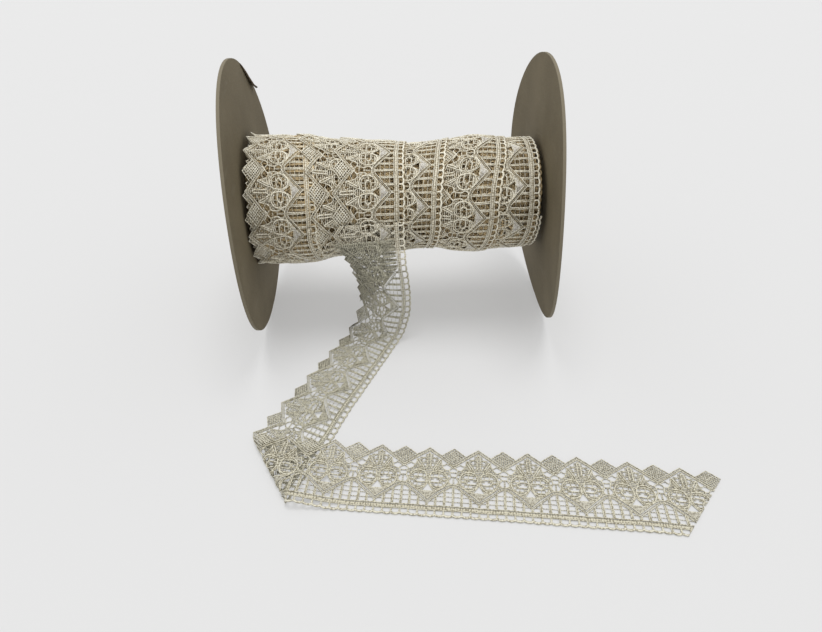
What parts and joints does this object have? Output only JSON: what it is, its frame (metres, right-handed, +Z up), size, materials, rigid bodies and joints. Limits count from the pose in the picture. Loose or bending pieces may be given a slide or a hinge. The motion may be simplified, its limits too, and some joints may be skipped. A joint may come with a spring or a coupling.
{
  "type": "spool of lace ribbon",
  "caption": "Ivory guipure lace ribbon wound between two round board flanges, its loose end hanging down, folded over once and laid out along the surface.",
  "frame": {"origin": "under the middle of the bounding box, on the surface that the flanges and the loose end rest on", "axes": "X runs along the spool from the left flange to the right one, -Y is the front, where the loose end leaves the roll, and Z is up"},
  "size_m": [0.2706, 0.3258, 0.1896],
  "materials": {
    "board": "matt grey-brown board",
    "lace": "ivory thread lace with a soft sheen"
  },
  "bodies": {
    "root": {"flange_left": "board", "flange_right": "board", "lace_roll": "lace", "lace_tail": "lace"}
  },
  "joints": []
}
